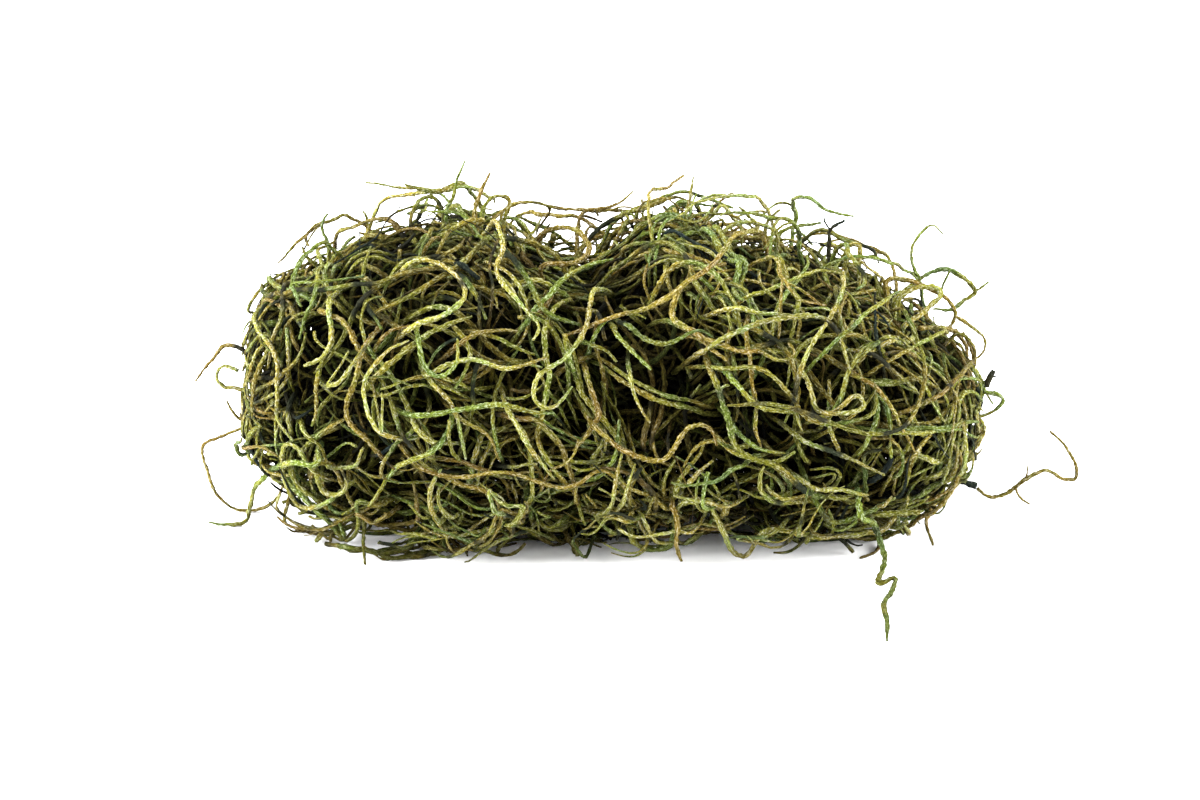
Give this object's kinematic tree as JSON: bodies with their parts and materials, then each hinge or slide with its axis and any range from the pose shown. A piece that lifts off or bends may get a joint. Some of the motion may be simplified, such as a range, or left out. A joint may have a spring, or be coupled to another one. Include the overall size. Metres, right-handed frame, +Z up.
{
  "type": "spanish moss bunch",
  "caption": "Dried, dyed bunch of curly moss strands: a springy oblong tangle that lies flat, with stray tips and loops standing out all round.",
  "frame": {"origin": "on the flat spot that the bunch rests on, below the middle of the bunch", "axes": "+X along the bunch to its right end seen from the front, -Y to the front, +Z up"},
  "size_m": [0.1943, 0.129, 0.0779],
  "materials": {
    "moss": "dry scaly plant fibre, olive with yellow-green and brown patches, matte",
    "brown": "dry scaly plant fibre, tan to brown, matte",
    "pale": "dry scaly plant fibre, pale yellow-green, matte",
    "green": "dry scaly plant fibre, dyed cool green, matte",
    "dark": "dark wiry stem and torn sheath, nearly black, matte"
  },
  "bodies": {
    "root": {"moss_tangle": "moss", "strand_left_curl": "brown", "strand_left_loop": "pale", "strand_left_low_loop": "brown", "strand_left_low_green": "green", "spike_crest_left": "green", "spike_crest_left_short": "brown", "strand_crest_hook": "brown", "spike_crest_right": "pale", "wisp_crest_right": "pale", "twig_crest_dark": "dark", "spray_right_high": "green", "strand_right_bow": "brown", "strand_right_fold": "pale", "spray_right_low": "green", "sheath_right_dark": "dark", "strand_right_hook": "pale", "stem_right_dark": "dark", "tendril_right": "brown", "strand_right_hanging": "brown", "strand_front_trailing": "green", "strand_front_wave": "pale", "loop_front_low": "green", "prong_front_low": "brown", "strand_loose_1": "green", "strand_loose_2": "pale", "strand_loose_3": "green", "strand_loose_4": "brown", "strand_loose_5": "brown", "strand_loose_6": "green", "strand_loose_7": "pale", "strand_loose_8": "green", "strand_loose_9": "brown", "strand_loose_10": "brown", "strand_loose_11": "green", "strand_loose_12": "pale", "strand_loose_13": "green", "strand_loose_14": "brown", "strand_loose_15": "brown", "strand_loose_16": "green", "strand_loose_17": "pale", "strand_loose_18": "green", "strand_loose_19": "brown", "strand_loose_20": "brown", "strand_loose_21": "green", "strand_loose_22": "pale", "strand_loose_23": "green", "strand_loose_24": "brown", "strand_loose_25": "brown", "strand_loose_26": "green", "strand_loose_27": "pale", "strand_loose_28": "green", "strand_loose_29": "brown", "strand_loose_30": "brown", "strand_loose_31": "green", "strand_loose_32": "pale", "strand_loose_33": "green", "strand_loose_34": "brown"}
  },
  "joints": []
}
